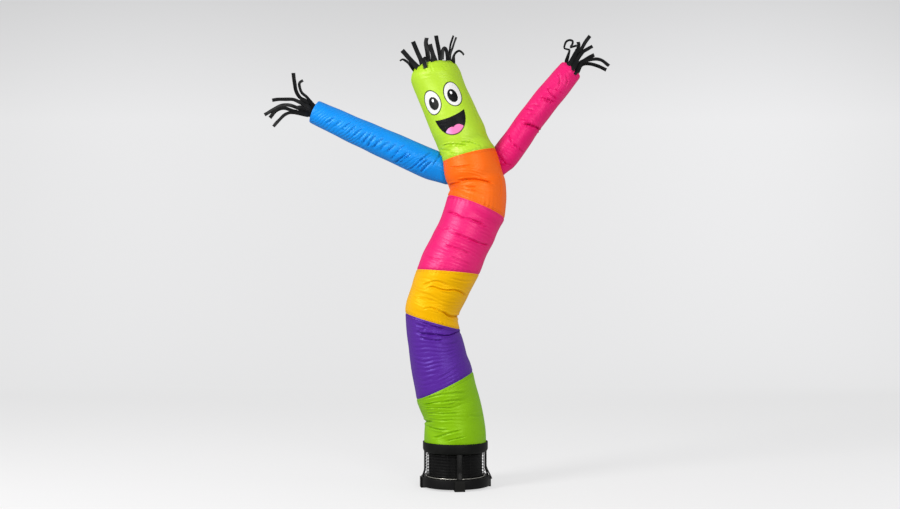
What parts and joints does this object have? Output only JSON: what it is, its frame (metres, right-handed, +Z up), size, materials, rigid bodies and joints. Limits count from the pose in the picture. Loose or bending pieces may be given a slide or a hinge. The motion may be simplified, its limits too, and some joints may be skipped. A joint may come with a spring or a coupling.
{
  "type": "inflatable air dancer on its blower",
  "caption": "Bent nylon air dancer with a printed face, raised sleeves, black hair and streamers, filled by a caged fan that it stands on.",
  "frame": {"origin": "on the floor, under the middle of the whole outline", "axes": "+Z up, the face looks along -Y, the blue sleeve points to -X"},
  "size_m": [1.3324, 0.2735, 1.7363],
  "materials": {
    "nylon_green": "coated ripstop nylon, soft sheen",
    "nylon_purple": "coated ripstop nylon, soft sheen",
    "nylon_yellow": "coated ripstop nylon, soft sheen",
    "nylon_pink": "coated ripstop nylon, soft sheen",
    "nylon_orange": "coated ripstop nylon, soft sheen",
    "nylon_lime": "coated ripstop nylon, soft sheen",
    "nylon_blue": "coated ripstop nylon, soft sheen",
    "nylon_black": "coated ripstop nylon, soft sheen",
    "black_plastic": "moulded, matt",
    "black_painted_steel": "satin paint",
    "bare_wire": "drawn wire"
  },
  "bodies": {
    "root": {"tube_green": "nylon_green", "tube_purple": "nylon_purple", "tube_yellow": "nylon_yellow", "tube_pink": "nylon_pink", "tube_orange": "nylon_orange", "tube_lime": "nylon_lime", "top_cap": "nylon_lime", "arm_blue": "nylon_blue", "wrist_cap_blue": "nylon_blue", "arm_pink": "nylon_pink", "wrist_cap_pink": "nylon_pink", "hair_fringe": "nylon_black", "hand_fringe_blue": "nylon_black", "hand_fringe_pink": "nylon_black", "draw_cord": "nylon_black", "blower_base": "black_plastic", "blower_foot_front": "black_plastic", "blower_foot_right": "black_plastic", "blower_foot_back": "black_plastic", "blower_foot_left": "black_plastic", "blower_housing": "black_plastic", "blower_collar": "black_plastic", "blower_strut_front": "black_painted_steel", "blower_strut_right": "black_painted_steel", "blower_strut_back": "black_painted_steel", "blower_strut_left": "black_painted_steel", "blower_guard": "black_painted_steel", "blower_hoop": "bare_wire"}
  },
  "joints": []
}
